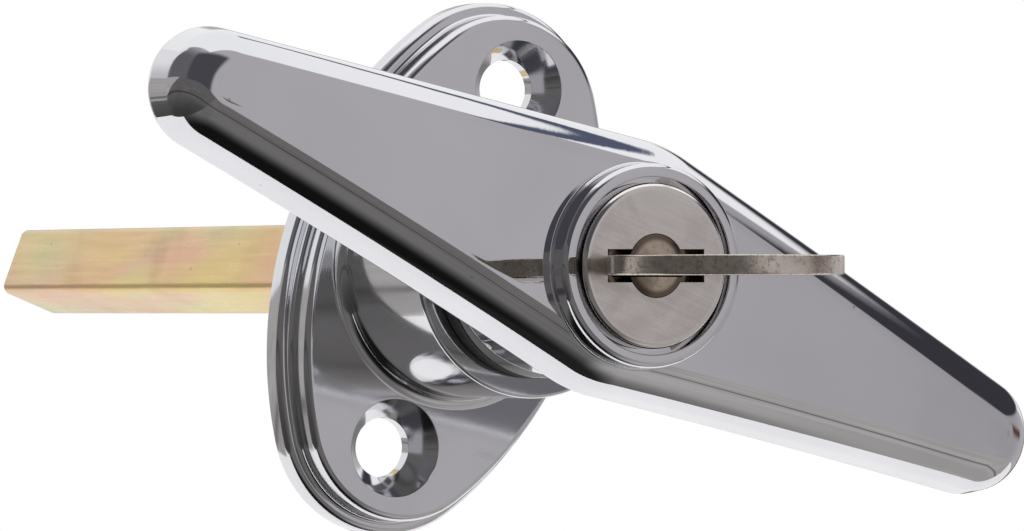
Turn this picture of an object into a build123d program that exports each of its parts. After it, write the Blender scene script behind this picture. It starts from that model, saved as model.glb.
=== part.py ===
from build123d import *
import math
import os

# Locking T-handle: a swept-back grip with a key lock in its boss turns a square
# spindle in an oval escutcheon. Frame: origin on the spindle's axis in the plane
# of the mounting face, +Y to the rear along the spindle, +Z along the plate's
# long axis, +X to the right as seen from the front. A height is a distance
# forward of the mounting face, so a plane at height h lies at Y = -h.

# Spindle
spindle_size = 8.0
spindle_corner = 1.0
spindle_reach = 96.0
spindle_hold = 12.4
spindle_point = 0.8
socket_clearance = 0.05

# Escutcheon
plate_length = 59.4
plate_width = 36.0
plate_end_radius = 12.8
plate_height = 6.3
tier_height = 2.8
tier_step = 1.5
tier_cove = 0.5
rim_round = 0.8
face_wall = 4.4
rim_wall = 2.8
hub_radius = 13.8
hub_height = 22.9
hub_fillet = 1.6
hub_edge = 0.35
screw_spacing = 41.2
screw_hole = 6.4
screw_head = 10.5
screw_angle = 70.0
recess_radius = 12.2
recess_depth = 4.2
boss_wall = 1.5

# Handle
handle_length = 109.6
handle_end_radius = 6.7
handle_width = 28.5
handle_apex_radius = 16.5
handle_thickness = 7.4
handle_arch_radius = 385.0
handle_gap = 15.0
handle_draft = 8.0
front_round = 4.6
rear_round = 1.0
lock_boss_radius = 10.5
lock_boss_height = 2.5
lock_boss_edge = 0.7
neck_radius = 11.7
shank_radius = 8.9
shank_end = 0.1
shank_flats = 15.4

# Running and seating clearances
running = 0.08
light_fit = 0.05
face_gap = 0.05
end_play = 0.1

# Seal and rear washers
seal_thickness = 2.2
seal_clearance = 0.3
thrust_thickness = 0.8
spring_thickness = 0.3
spring_rise = 0.4
stop_thickness = 0.8
stop_tab_reach = 14.4
stop_tab_width = 4.0
stop_clearance = 0.25
ring_thickness = 0.9
ring_reach = 1.6
ring_groove_depth = 0.7
ring_opening = 70.0

# Lock
key_angle = 21.6
cap_radius = 8.5
cap_sheet = 0.4
cap_depth = 2.4
cap_round = 0.65
cap_proud = 0.5
cap_clearance = 0.6
slot_length = 11.4
slot_width = 3.4
bush_radius = 3.3
bush_proud = 0.5
bush_flange = 0.5
bush_flange_radius = 4.7
bush_depth = 1.4
housing_radius = 8.0
housing_length = 18.6
plug_radius = 6.2
tail_radius = 3.4
tail_clearance = 0.1
clip_thickness = 0.8
clip_groove = 0.7
clip_reach = 5.2
clip_opening = 80.0

# Wafers and key
wafer_count = 5
wafer_pitch = 3.3
wafer_thickness = 1.5
wafer_width = 5.4
wafer_travel = 0.8
wafer_first = 2.5
wafer_slack = 0.05
wafer_groove = 1.0
wafer_lug = 1.4
wafer_spring_radius = 0.6
wafer_spring_length = 2.4
blade_width = 8.0
blade_thickness = 2.0
blade_length = 20.2
keyway_clearance = 0.15
first_cut = 0.3
cut_step = 0.3
cut_slack = 0.1
bow_radius = 11.9
bow_chamfer = 0.2
bow_gap = 2.0
bow_hole = 5.0
bow_hole_offset = 7.4
shoulder_width = 11.0

# Locking bolt
bolt_width = 6.4
bolt_thickness = 3.2
bolt_height = 17.45
bolt_length = 14.1
bolt_reach = 8.1
bolt_clearance = 0.1
bolt_groove_depth = 2.2
crank_radius = 1.5
pin_radius = 1.0
pin_clearance = 0.1
crank_start = 135.0

# Cross pins
spindle_pin_radius = 1.25
spindle_pin_height = 8.4
housing_pin_radius = 1.0
housing_pin_height = 31.0
housing_pin_bite = 1.1
pin_inset = 0.2
pin_slack = 0.02

# Heights that follow
neck_base = hub_height + seal_thickness + 2 * face_gap
grip_rear = hub_height + handle_gap
grip_front = grip_rear + handle_thickness
arch_inner = handle_arch_radius - handle_thickness
tip_rear = grip_rear - arch_inner + math.sqrt(arch_inner**2 - (handle_length / 2) ** 2)
boss_front = grip_front + lock_boss_height
cap_front = boss_front + cap_proud
cap_rear = cap_front - cap_depth
cap_floor = cap_rear - cap_clearance / 2
housing_rear = cap_floor - housing_length
plug_rear = housing_rear
clip_front = plug_rear - 2 * face_gap
clip_rear = clip_front - clip_thickness
lock_bore_floor = clip_rear - 2 * face_gap
bolt_top = bolt_height + bolt_thickness / 2
bolt_bottom = bolt_height - bolt_thickness / 2
tail_rear = bolt_top + 3 * bolt_clearance
thrust_rear = recess_depth - end_play - thrust_thickness
spring_rear = thrust_rear - face_gap - spring_thickness - spring_rise
stop_front = spring_rear - face_gap
stop_rear = stop_front - stop_thickness
ring_front = stop_rear - face_gap
ring_rear = ring_front - ring_thickness
bore_radius = shank_radius + running
socket_size = spindle_size + 2 * socket_clearance
groove_reach = bore_radius + bolt_groove_depth
bow_height = cap_front + bow_gap + bow_radius
blade_tip = cap_front - blade_length
flange_front = cap_front - cap_sheet - light_fit - bush_depth
flange_rear = flange_front - bush_flange

cos_key = math.cos(math.radians(key_angle))
sin_key = math.sin(math.radians(key_angle))
lock_plane = Plane(origin=(0, 0, 0), x_dir=(cos_key, 0, sin_key), z_dir=(0, -1, 0))
key_plane = Plane(origin=(0, 0, 0), x_dir=(cos_key, 0, sin_key), z_dir=(sin_key, 0, -cos_key))


def front(height):
    """Plane at a height, facing forward, with +X to the right and +Z up."""
    return Plane.XZ.offset(height)


def lock_at(height):
    """Plane at a height, facing forward, with X along the key's width."""
    return lock_plane.offset(height)


def plate_outline(inset):
    """Oval of two long side arcs and two end arcs that meet smoothly."""
    half_width = plate_width / 2 - inset
    half_length = plate_length / 2 - inset
    end_radius = plate_end_radius - inset
    end_centre = half_length - end_radius
    side_radius = (half_width**2 + end_centre**2 - end_radius**2) / (2 * (half_width - end_radius))
    side_centre = half_width - side_radius
    reach = math.hypot(side_centre, end_centre)
    x = -end_radius * side_centre / reach
    y = end_centre + end_radius * end_centre / reach
    with BuildSketch(Plane.XY) as outline:
        with BuildLine():
            ThreePointArc((x, -y), (half_width, 0), (x, y))
            ThreePointArc((x, y), (0, half_length), (-x, y))
            ThreePointArc((-x, y), (-half_width, 0), (-x, -y))
            ThreePointArc((-x, -y), (0, -half_length), (x, -y))
        make_face()
    return outline.sketch


def grip_outline():
    """Lozenge with rounded ends and rounded apexes above and below the lock."""
    end_centre = handle_length / 2 - handle_end_radius
    apex_centre = handle_width / 2 - handle_apex_radius
    span = math.hypot(end_centre, apex_centre)
    lean = math.atan2(-apex_centre, end_centre)
    normal = lean + math.acos((handle_apex_radius - handle_end_radius) / span)
    end_x = end_centre + handle_end_radius * math.cos(normal)
    end_y = handle_end_radius * math.sin(normal)
    apex_x = handle_apex_radius * math.cos(normal)
    apex_y = apex_centre + handle_apex_radius * math.sin(normal)
    with BuildSketch(Plane.XY) as outline:
        with BuildLine():
            ThreePointArc((end_x, -end_y), (handle_length / 2, 0), (end_x, end_y))
            Line((end_x, end_y), (apex_x, apex_y))
            ThreePointArc((apex_x, apex_y), (0, handle_width / 2), (-apex_x, apex_y))
            Line((-apex_x, apex_y), (-end_x, end_y))
            ThreePointArc((-end_x, end_y), (-handle_length / 2, 0), (-end_x, -end_y))
            Line((-end_x, -end_y), (-apex_x, -apex_y))
            ThreePointArc((-apex_x, -apex_y), (0, -handle_width / 2), (apex_x, -apex_y))
            Line((apex_x, -apex_y), (end_x, -end_y))
        make_face()
    return outline.sketch


def finish_piece(part, name):
    """Label a piece and write it."""
    part.label = name
    export_step(part, f"parts/{name}.step")


os.makedirs("parts", exist_ok=True)

# Escutcheon: two-tier oval plate with a hollow back, a tall hub with four bolt
# grooves, and a recess behind for the washers that hold the handle
foot_outline = plate_outline(0)
tier_outline = plate_outline(tier_step)
hollow_outline = plate_outline(rim_wall)
with BuildPart() as escutcheon:
    with BuildSketch(front(0)):
        add(foot_outline)
    extrude(amount=tier_height)
    fillet(escutcheon.faces().sort_by(Axis.Y)[0].edges(), rim_round)
    with BuildSketch(front(tier_height)):
        add(tier_outline)
    extrude(amount=plate_height - tier_height)
    fillet(escutcheon.faces().sort_by(Axis.Y)[0].edges(), rim_round)
    tier_foot = escutcheon.edges().filter_by(
        lambda e: abs(e.center().Y + tier_height) < 0.01 and abs(e.bounding_box().max.Y + tier_height) < 0.01)
    fillet(tier_foot.sort_by(lambda e: e.distance_to((0, -tier_height, 0)))[:4], tier_cove)
    with BuildSketch(front(plate_height)):
        Circle(hub_radius)
    extrude(amount=hub_height - plate_height)
    hub_foot = escutcheon.edges().filter_by(GeomType.CIRCLE).filter_by(
        lambda e: abs(e.radius - hub_radius) < 0.01 and abs(e.center().Y + plate_height) < 0.01)
    fillet(hub_foot, hub_fillet)
    hub_rim = escutcheon.edges().filter_by(GeomType.CIRCLE).filter_by(
        lambda e: abs(e.radius - hub_radius) < 0.01 and abs(e.center().Y + hub_height) < 0.01)
    fillet(hub_rim, hub_edge)
    with BuildSketch(front(0)):
        add(hollow_outline)
        Circle(stop_tab_reach + boss_wall, mode=Mode.SUBTRACT)
    extrude(amount=plate_height - face_wall, mode=Mode.SUBTRACT)
    with BuildSketch(front(0)):
        Circle(bore_radius)
    extrude(amount=hub_height, mode=Mode.SUBTRACT)
    with BuildSketch(front(0)):
        Circle(recess_radius)
    extrude(amount=recess_depth, mode=Mode.SUBTRACT)
    with BuildSketch(front(0)):
        Circle(stop_tab_reach + stop_clearance)
        with Locations((0, -stop_tab_reach - stop_tab_width / 2 - stop_clearance)):
            Rectangle(4 * stop_tab_reach, 2 * stop_tab_reach, mode=Mode.SUBTRACT)
    extrude(amount=stop_front + end_play, mode=Mode.SUBTRACT)
    with BuildSketch(front(0)):
        Rectangle(2 * groove_reach, bolt_width + 4 * bolt_clearance)
        Rectangle(bolt_width + 4 * bolt_clearance, 2 * groove_reach)
    extrude(amount=bolt_top + 4 * bolt_clearance, mode=Mode.SUBTRACT)
    with Locations(front(plate_height)):
        with GridLocations(0, screw_spacing, 1, 2):
            CounterSinkHole(screw_hole / 2, screw_head / 2, depth=plate_height, counter_sink_angle=screw_angle)
finish_piece(escutcheon.part, "escutcheon")

# Neck seal: black washer that the handle's neck turns on
with BuildPart() as neck_seal:
    with BuildSketch(front(hub_height + face_gap)):
        Circle(neck_radius)
        Circle(shank_radius + seal_clearance, mode=Mode.SUBTRACT)
    extrude(amount=seal_thickness)
finish_piece(neck_seal.part, "neck_seal")

# Handle: arched lozenge grip with the lock boss in front, and a neck and shank behind
lozenge_outline = grip_outline()
with BuildPart() as handle:
    arch_centre = handle_arch_radius - grip_front
    with BuildSketch(front(tip_rear)):
        add(lozenge_outline)
    extrude(amount=grip_front - tip_rear, taper=handle_draft)
    with BuildSketch(Plane.XY):
        with Locations((0, arch_centre)):
            Circle(handle_arch_radius)
            Circle(arch_inner, mode=Mode.SUBTRACT)
        with Locations((0, 2 * handle_arch_radius)):
            Rectangle(4 * handle_arch_radius, 4 * handle_arch_radius, mode=Mode.SUBTRACT)
    extrude(amount=handle_width, both=True, mode=Mode.INTERSECT)
    fillet(handle.faces().sort_by(Axis.Y)[0].edges(), front_round)
    fillet(handle.faces().sort_by(Axis.Y)[-1].edges(), rear_round)
    with BuildSketch(front(grip_front - front_round)):
        Circle(lock_boss_radius)
    extrude(amount=lock_boss_height + front_round)
    fillet(handle.faces().sort_by(Axis.Y)[0].edges(), lock_boss_edge)
    with BuildSketch(front(neck_base)):
        Circle(neck_radius)
    extrude(amount=grip_rear - neck_base + rear_round)
    with BuildSketch(front(shank_end)):
        Circle(shank_radius)
    extrude(amount=neck_base - shank_end)
    with BuildSketch(front(lock_bore_floor)):
        Circle(housing_radius + light_fit)
    extrude(amount=boss_front - lock_bore_floor, mode=Mode.SUBTRACT)
    with BuildSketch(front(cap_floor)):
        Circle(cap_radius + cap_clearance)
    extrude(amount=boss_front - cap_floor, mode=Mode.SUBTRACT)
    with BuildSketch(front(bolt_bottom)):
        Circle(tail_radius + tail_clearance)
    extrude(amount=lock_bore_floor - bolt_bottom, mode=Mode.SUBTRACT)
    with BuildSketch(front(bolt_bottom - bolt_clearance)):
        with Locations((bolt_reach - bolt_length - 3 * bolt_clearance, 0)):
            Rectangle(2 * bolt_length, bolt_width + 2 * bolt_clearance, align=(Align.MIN, Align.CENTER))
    extrude(amount=bolt_thickness + 2 * bolt_clearance, mode=Mode.SUBTRACT)
    with BuildSketch(front(0)):
        RectangleRounded(socket_size, socket_size, spindle_corner)
    extrude(amount=spindle_hold + 2 * socket_clearance, mode=Mode.SUBTRACT)
    with BuildSketch(front(0)):
        Circle(shank_radius + running)
        Rectangle(4 * shank_radius, shank_flats, mode=Mode.SUBTRACT)
    extrude(amount=stop_front, mode=Mode.SUBTRACT)
    with BuildSketch(front(ring_rear - face_gap)):
        Circle(shank_radius + running)
        Circle(shank_radius - ring_groove_depth, mode=Mode.SUBTRACT)
    extrude(amount=ring_thickness + 2 * face_gap, mode=Mode.SUBTRACT)
    with BuildSketch(Plane.YZ):
        with Locations((-spindle_pin_height, 0)):
            Circle(spindle_pin_radius + pin_slack)
    extrude(amount=shank_radius, both=True, mode=Mode.SUBTRACT)
    pin_turn = math.radians(key_angle + 45)
    pin_plane = Plane(
        origin=(0, -housing_pin_height, 0),
        x_dir=(0, 1, 0),
        z_dir=(math.cos(pin_turn), 0, math.sin(pin_turn)),
    )
    with BuildSketch(pin_plane):
        Circle(housing_pin_radius + pin_slack)
    extrude(amount=neck_radius + 1, mode=Mode.SUBTRACT)
finish_piece(handle.part, "handle")

# Lock housing: sleeve with four grooves for the wafers, one pair for each key position
with BuildPart() as lock_housing:
    with BuildSketch(front(housing_rear)):
        Circle(housing_radius)
        Circle(plug_radius + running, mode=Mode.SUBTRACT)
    extrude(amount=housing_length - face_gap)
    with BuildSketch(lock_at(housing_rear)):
        with PolarLocations(0, 4):
            Rectangle(plug_radius + wafer_groove, wafer_width + 8 * wafer_slack, align=(Align.MIN, Align.CENTER))
    extrude(amount=housing_length, mode=Mode.SUBTRACT)
    with BuildSketch(pin_plane.offset(housing_radius - housing_pin_bite)):
        Circle(housing_pin_radius + pin_slack)
    extrude(amount=housing_pin_bite + 1, mode=Mode.SUBTRACT)
finish_piece(lock_housing.part, "lock_housing")

# Housing pin: radial pin through the neck into the housing
with BuildPart() as housing_pin:
    with BuildSketch(pin_plane.offset(housing_radius - housing_pin_bite + face_gap)):
        Circle(housing_pin_radius)
    extrude(amount=neck_radius - pin_inset - housing_radius + housing_pin_bite - face_gap)
finish_piece(housing_pin.part, "housing_pin")

# Wafer positions, from the front of the plug to its rear
wafer_heights = [cap_floor - wafer_first - k * wafer_pitch for k in range(wafer_count)]
wafer_cuts = [first_cut + k * cut_step for k in range(wafer_count)]
lug_inner = wafer_width / 2
lug_outer = lug_inner + wafer_lug
lug_low = 0.2
lug_high = 1.4
spring_low = lug_high + wafer_slack

# Lock plug: head with a pocket behind the cap's slot, body with the keyway and wafer slots,
# and the tail
with BuildPart() as lock_plug:
    with BuildSketch(front(plug_rear)):
        Circle(plug_radius)
    extrude(amount=cap_floor - plug_rear + face_gap)
    with BuildSketch(front(cap_floor + face_gap)):
        Circle(cap_radius - cap_sheet - light_fit)
    extrude(amount=cap_front - cap_sheet - light_fit - cap_floor - face_gap)
    fillet(lock_plug.faces().sort_by(Axis.Y)[0].edges(), cap_round - cap_sheet)
    with BuildSketch(front(tail_rear)):
        Circle(tail_radius)
    extrude(amount=plug_rear - tail_rear)
    with BuildSketch(lock_at(blade_tip - 2 * keyway_clearance)):
        Rectangle(blade_width + 2 * keyway_clearance, blade_thickness + 2 * keyway_clearance)
    extrude(amount=blade_length, mode=Mode.SUBTRACT)
    with BuildSketch(lock_at(flange_rear - light_fit)):
        Circle(bush_flange_radius + light_fit)
        Rectangle(slot_length, slot_width)
    extrude(amount=cap_front - flange_rear, mode=Mode.SUBTRACT)
    for height in wafer_heights:
        with BuildSketch(lock_at(height - wafer_thickness / 2 - wafer_slack)):
            Rectangle(2 * plug_radius + 1, wafer_width + 2 * wafer_slack)
            with Locations((lug_low - wafer_travel - wafer_slack, -lug_outer - wafer_slack)):
                Rectangle(
                    wafer_travel + wafer_spring_length + lug_high - lug_low + 2 * wafer_slack,
                    wafer_lug + 2 * wafer_slack,
                    align=(Align.MIN, Align.MIN),
                )
        extrude(amount=wafer_thickness + 2 * wafer_slack, mode=Mode.SUBTRACT)
    with BuildSketch(front(clip_rear - face_gap)):
        Circle(tail_radius + running)
        Circle(tail_radius - clip_groove, mode=Mode.SUBTRACT)
    extrude(amount=clip_thickness + 2 * face_gap, mode=Mode.SUBTRACT)
    crank_turn = math.radians(crank_start)
    crank_x = crank_radius * math.cos(crank_turn)
    crank_z = crank_radius * math.sin(crank_turn)
    with BuildSketch(front(tail_rear)):
        with Locations((crank_x, crank_z)):
            Circle(pin_radius + pin_slack)
    extrude(amount=tail_radius, mode=Mode.SUBTRACT)
finish_piece(lock_plug.part, "lock_plug")

# Drive pin: eccentric pin in the tail that works the bolt
with BuildPart() as drive_pin:
    with BuildSketch(front(bolt_bottom)):
        with Locations((crank_x, crank_z)):
            Circle(pin_radius)
    extrude(amount=tail_rear - bolt_bottom + tail_radius - face_gap)
finish_piece(drive_pin.part, "drive_pin")

# Face cap: thin cup over the plug's head, with the key slot and a round window
with BuildPart() as face_cap:
    with BuildSketch(front(cap_rear)):
        Circle(cap_radius)
    extrude(amount=cap_depth)
    fillet(face_cap.faces().sort_by(Axis.Y)[0].edges(), cap_round)
    with BuildSketch(front(cap_rear)):
        Circle(cap_radius - cap_sheet)
    extrude(amount=cap_depth - cap_sheet, mode=Mode.SUBTRACT)
    with BuildSketch(lock_at(cap_front - cap_sheet)):
        Rectangle(slot_length, slot_width)
        Circle(bush_radius)
    extrude(amount=cap_sheet, mode=Mode.SUBTRACT)
finish_piece(face_cap.part, "face_cap")

# Keyhole bush: flanged brass post seated in the plug's head, its slotted dome in the cap's
# round window
with BuildPart() as keyhole_bush:
    dome_wall = bush_radius - running
    with BuildSketch(Plane.XY):
        with BuildLine():
            Polyline(
                (0, -cap_front - bush_proud),
                (0, -flange_rear),
                (bush_flange_radius, -flange_rear),
                (bush_flange_radius, -flange_front),
                (dome_wall, -flange_front),
                (dome_wall, -cap_front),
            )
            ThreePointArc(
                (dome_wall, -cap_front),
                (dome_wall / 2, -cap_front - 0.75 * bush_proud),
                (0, -cap_front - bush_proud),
            )
        make_face()
    revolve(axis=Axis.Y)
    with BuildSketch(lock_at(flange_rear)):
        Rectangle(blade_width + 2 * keyway_clearance, blade_thickness + 2 * keyway_clearance)
    extrude(amount=cap_front + bush_proud - flange_rear, mode=Mode.SUBTRACT)
finish_piece(keyhole_bush.part, "keyhole_bush")

# Plug clip: open ring in the tail's groove
with BuildPart() as plug_clip:
    with BuildSketch(front(clip_rear)):
        Circle(clip_reach)
        Circle(tail_radius - clip_groove + light_fit, mode=Mode.SUBTRACT)
        clip_cut = clip_reach * math.tan(math.radians(clip_opening / 2))
        with BuildLine():
            Polyline((0, 0), (2 * clip_cut, 2 * clip_reach), (-2 * clip_cut, 2 * clip_reach), (0, 0))
        make_face(mode=Mode.SUBTRACT)
    extrude(amount=clip_thickness)
finish_piece(plug_clip.part, "plug_clip")

# Wafers: each has a window for the blade, and a lug on one side for its spring
for number, (height, cut) in enumerate(zip(wafer_heights, wafer_cuts), start=1):
    with BuildPart() as wafer:
        with BuildSketch(lock_at(height - wafer_thickness / 2)):
            Circle(plug_radius - wafer_slack)
            Rectangle(2 * plug_radius, wafer_width, mode=Mode.INTERSECT)
            with Locations((lug_low, -lug_inner)):
                Rectangle(lug_high - lug_low, wafer_lug, align=(Align.MIN, Align.MAX))
            window_low = -blade_width / 2 - 2 * keyway_clearance
            window_high = blade_width / 2 - cut + cut_slack
            with Locations((window_low, 0)):
                Rectangle(
                    window_high - window_low,
                    blade_thickness + 2 * keyway_clearance,
                    align=(Align.MIN, Align.CENTER),
                    mode=Mode.SUBTRACT,
                )
        extrude(amount=wafer_thickness)
    finish_piece(wafer.part, f"wafer_{number}")

# Wafer springs: one beside each wafer, between its lug and the plug
with BuildPart() as wafer_springs:
    spring_offset = lug_inner + wafer_lug / 2
    for height in wafer_heights:
        spring_plane = Plane(
            origin=(spring_offset * sin_key, -height, -spring_offset * cos_key),
            x_dir=(0, 1, 0),
            z_dir=(cos_key, 0, sin_key),
        )
        with BuildSketch(spring_plane.offset(spring_low)):
            Circle(wafer_spring_radius)
            Circle(wafer_spring_radius / 2, mode=Mode.SUBTRACT)
        extrude(amount=wafer_spring_length - wafer_slack)
finish_piece(wafer_springs.part, "wafer_springs")

# Key: round bow with a ring hole, shoulder, and a blade whose cuts deepen to the tip
with BuildPart() as key:
    half_blade = blade_width / 2
    flat_half = wafer_thickness / 2 + 3 * wafer_slack
    blade_points = [(-half_blade, cap_front + face_gap), (half_blade, cap_front + face_gap)]
    level = half_blade
    for height, cut in zip(wafer_heights, wafer_cuts):
        drop = level - (half_blade - cut)
        blade_points.append((level, height + flat_half + drop))
        level = half_blade - cut
        blade_points.append((level, height + flat_half))
    blade_points.append((level, blade_tip + level))
    blade_points.append((level / 2, blade_tip))
    blade_points.append((-level / 2, blade_tip))
    blade_points.append((-half_blade, blade_tip + level))
    with BuildSketch(key_plane.offset(-blade_thickness / 2)):
        with Locations((0, bow_height)):
            Circle(bow_radius)
    extrude(amount=blade_thickness)
    chamfer(key.edges().filter_by(GeomType.CIRCLE), bow_chamfer)
    with BuildSketch(key_plane.offset(-blade_thickness / 2)):
        with BuildLine():
            Polyline(*blade_points, close=True)
        make_face()
        with Locations((0, cap_front + face_gap)):
            Rectangle(shoulder_width, bow_gap + 1, align=(Align.CENTER, Align.MIN))
    extrude(amount=blade_thickness)
    with BuildSketch(key_plane.offset(-blade_thickness / 2)):
        with Locations((0, bow_height + bow_hole_offset)):
            Circle(bow_hole / 2)
    extrude(amount=blade_thickness, mode=Mode.SUBTRACT)
finish_piece(key.part, "key")

# Locking bolt: flat bar across the shank with a cross slot for the drive pin
with BuildPart() as locking_bolt:
    slot_side = crank_radius + pin_radius + pin_clearance
    with BuildSketch(front(bolt_bottom)):
        with Locations((bolt_reach, 0)):
            Rectangle(bolt_length, bolt_width, align=(Align.MAX, Align.CENTER))
        with Locations((crank_x, crank_z - pin_radius - pin_clearance)):
            Rectangle(
                2 * (pin_radius + pin_clearance),
                slot_side - crank_z + pin_radius + pin_clearance,
                align=(Align.CENTER, Align.MIN),
                mode=Mode.SUBTRACT,
            )
    extrude(amount=bolt_thickness)
    nose = locking_bolt.faces().sort_by(Axis.X)[-1]
    chamfer(nose.edges().filter_by(Axis.Y), 0.4)
finish_piece(locking_bolt.part, "locking_bolt")

# Spindle: square bar with rounded edges and a bevelled end
with BuildPart() as spindle:
    with BuildSketch(front(-spindle_reach)):
        RectangleRounded(spindle_size, spindle_size, spindle_corner)
    extrude(amount=spindle_reach + spindle_hold)
    chamfer(spindle.faces().sort_by(Axis.Y)[-1].edges(), spindle_point)
    with BuildSketch(Plane.YZ):
        with Locations((-spindle_pin_height, 0)):
            Circle(spindle_pin_radius + pin_slack)
    extrude(amount=spindle_size, both=True, mode=Mode.SUBTRACT)
finish_piece(spindle.part, "spindle")

# Spindle pin: cross pin through the shank and the spindle
with BuildPart() as spindle_pin:
    with BuildSketch(Plane.YZ):
        with Locations((-spindle_pin_height, 0)):
            Circle(spindle_pin_radius)
    extrude(amount=shank_radius - pin_inset, both=True)
finish_piece(spindle_pin.part, "spindle_pin")

# Thrust washer on the floor of the recess
with BuildPart() as thrust_washer:
    with BuildSketch(front(thrust_rear)):
        Circle(recess_radius - 2 * running)
        Circle(bore_radius + running, mode=Mode.SUBTRACT)
    extrude(amount=thrust_thickness)
finish_piece(thrust_washer.part, "thrust_washer")

# Spring washer: shallow cone that takes up the end play
with BuildPart() as spring_washer:
    inner = bore_radius + running
    outer = recess_radius - 4 * running
    with BuildSketch(Plane.XY):
        with BuildLine():
            Polyline(
                (inner, -spring_rear),
                (outer, -spring_rear - spring_rise),
                (outer, -spring_rear - spring_rise - spring_thickness),
                (inner, -spring_rear - spring_thickness),
                close=True,
            )
        make_face()
    revolve(axis=Axis.Y)
finish_piece(spring_washer.part, "spring_washer")

# Stop washer: turned by the shank's flats; its tab runs in the half ring behind the plate
with BuildPart() as stop_washer:
    with BuildSketch(front(stop_rear)):
        Circle(recess_radius - 4 * running)
        Rectangle(stop_tab_width, stop_tab_reach, align=(Align.CENTER, Align.MIN))
        Circle(stop_tab_reach, mode=Mode.INTERSECT)
    extrude(amount=stop_thickness)
    with BuildSketch(front(stop_rear)):
        Circle(shank_radius + running)
        Rectangle(4 * shank_radius, shank_flats + 2 * running, mode=Mode.INTERSECT)
    extrude(amount=stop_thickness, mode=Mode.SUBTRACT)
finish_piece(stop_washer.part, "stop_washer")

# Retaining ring: open ring in the groove at the shank's end
with BuildPart() as retaining_ring:
    with BuildSketch(front(ring_rear)):
        Circle(shank_radius + ring_reach)
        Circle(shank_radius - ring_groove_depth + light_fit, mode=Mode.SUBTRACT)
        ring_cut = shank_radius * math.tan(math.radians(ring_opening / 2))
        with BuildLine():
            Polyline((0, 0), (2 * ring_cut, 2 * shank_radius), (-2 * ring_cut, 2 * shank_radius), (0, 0))
        make_face(mode=Mode.SUBTRACT)
    extrude(amount=ring_thickness)
finish_piece(retaining_ring.part, "retaining_ring")
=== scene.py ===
import math

import bmesh
import bpy
import numpy as np
from mathutils import Matrix, Vector
from mathutils.geometry import delaunay_2d_cdt


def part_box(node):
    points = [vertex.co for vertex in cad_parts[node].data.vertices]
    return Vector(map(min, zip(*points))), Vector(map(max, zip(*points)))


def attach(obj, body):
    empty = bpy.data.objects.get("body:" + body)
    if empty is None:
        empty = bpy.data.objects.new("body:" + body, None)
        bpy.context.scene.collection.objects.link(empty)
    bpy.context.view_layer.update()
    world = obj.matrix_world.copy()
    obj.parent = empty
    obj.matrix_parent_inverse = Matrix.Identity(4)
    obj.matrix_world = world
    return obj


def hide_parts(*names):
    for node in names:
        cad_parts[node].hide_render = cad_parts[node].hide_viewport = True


# Locking T-handle. Sizes are millimetres and become metres when a mesh is made. A height
# is a distance forward of the mounting face, so a point is (x, height, z) until then.
# A mesh's points are welded where they agree after rounding to WELD_STEPS steps per metre.

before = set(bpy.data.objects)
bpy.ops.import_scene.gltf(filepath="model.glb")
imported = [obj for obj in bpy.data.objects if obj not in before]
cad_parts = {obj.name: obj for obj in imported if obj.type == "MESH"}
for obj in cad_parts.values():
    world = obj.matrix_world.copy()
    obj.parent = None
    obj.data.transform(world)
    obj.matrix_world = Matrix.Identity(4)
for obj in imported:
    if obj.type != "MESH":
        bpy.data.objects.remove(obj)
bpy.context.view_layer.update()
MM = 0.001
WELD_STEPS = 2e6


def mm_box(node):
    """Lowest and highest corner of a CAD node, in millimetres."""
    low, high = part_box(node)
    return low / MM, high / MM


grip_low, _ = mm_box("handle")
plate_low, plate_high = mm_box("escutcheon")
cap_low, cap_high = mm_box("face_cap")
spindle_low, spindle_high = mm_box("spindle")
_, clip_high = mm_box("plug_clip")

# Grip
grip_length = 109.59
grip_end_radius = 6.7
grip_width = 28.5
grip_apex_radius = 16.5
grip_thickness = 7.4
arch_radius = 385.0
draft = math.tan(math.radians(8.0))
front_round = 4.6
fold_share = 0.018
fold_middle = 0.8
fold_reach = 1.8
rear_round = 1.0
boss_front = -grip_low.y
boss_height = 2.5
boss_radius = 10.5
boss_edge = 0.7
boss_cove = 0.3
bore_edge = 0.15
lock_bore_radius = 8.05
lock_bore_floor = -clip_high.y - 0.1
grip_front = boss_front - boss_height
grip_rear = grip_front - grip_thickness
rear_arch_radius = arch_radius - grip_thickness
tip_rear = grip_rear - rear_arch_radius + math.sqrt(rear_arch_radius ** 2 - (grip_length / 2) ** 2)
neck_radius = 11.7
neck_base = 25.2
neck_round = 0.3
neck_flat = neck_radius - neck_round - 0.01
shank_radius = 8.9
shank_flats = 15.4
flats_height = 2.1
shank_end = 0.1
bolt_window_low = 15.75
bolt_window_high = 19.15
bolt_window_half = 3.3
bolt_window_end = -6.3

# Escutcheon
plate_length = plate_high.z - plate_low.z
plate_width = plate_high.x - plate_low.x
plate_end_radius = 12.8
plate_face = 6.3
tier_height = 2.8
tier_step = 1.5
tier_cove = 0.5
rim_round = 0.8
foot_inset = 0.3
foot_round = 0.2
face_wall = 4.4
rim_wall = 2.8
hub_height = -plate_low.y
hub_radius = 13.8
hub_fillet = 1.4
hub_edge = 0.35
hub_bore = 8.98
groove_reach = 11.18
groove_half = 3.4
groove_top = 19.45
screw_spacing = 41.2
screw_hole = 6.4
screw_head = 10.5
screw_lean = math.radians(35.0)
sink_edge = 0.1
recess_radius = 12.2
recess_depth = 4.2
pocket_boss_radius = 15.9
pocket_floor = plate_face - face_wall
seal_thickness = 2.2
seal_play = 0.05
seal_round = 0.25

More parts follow.
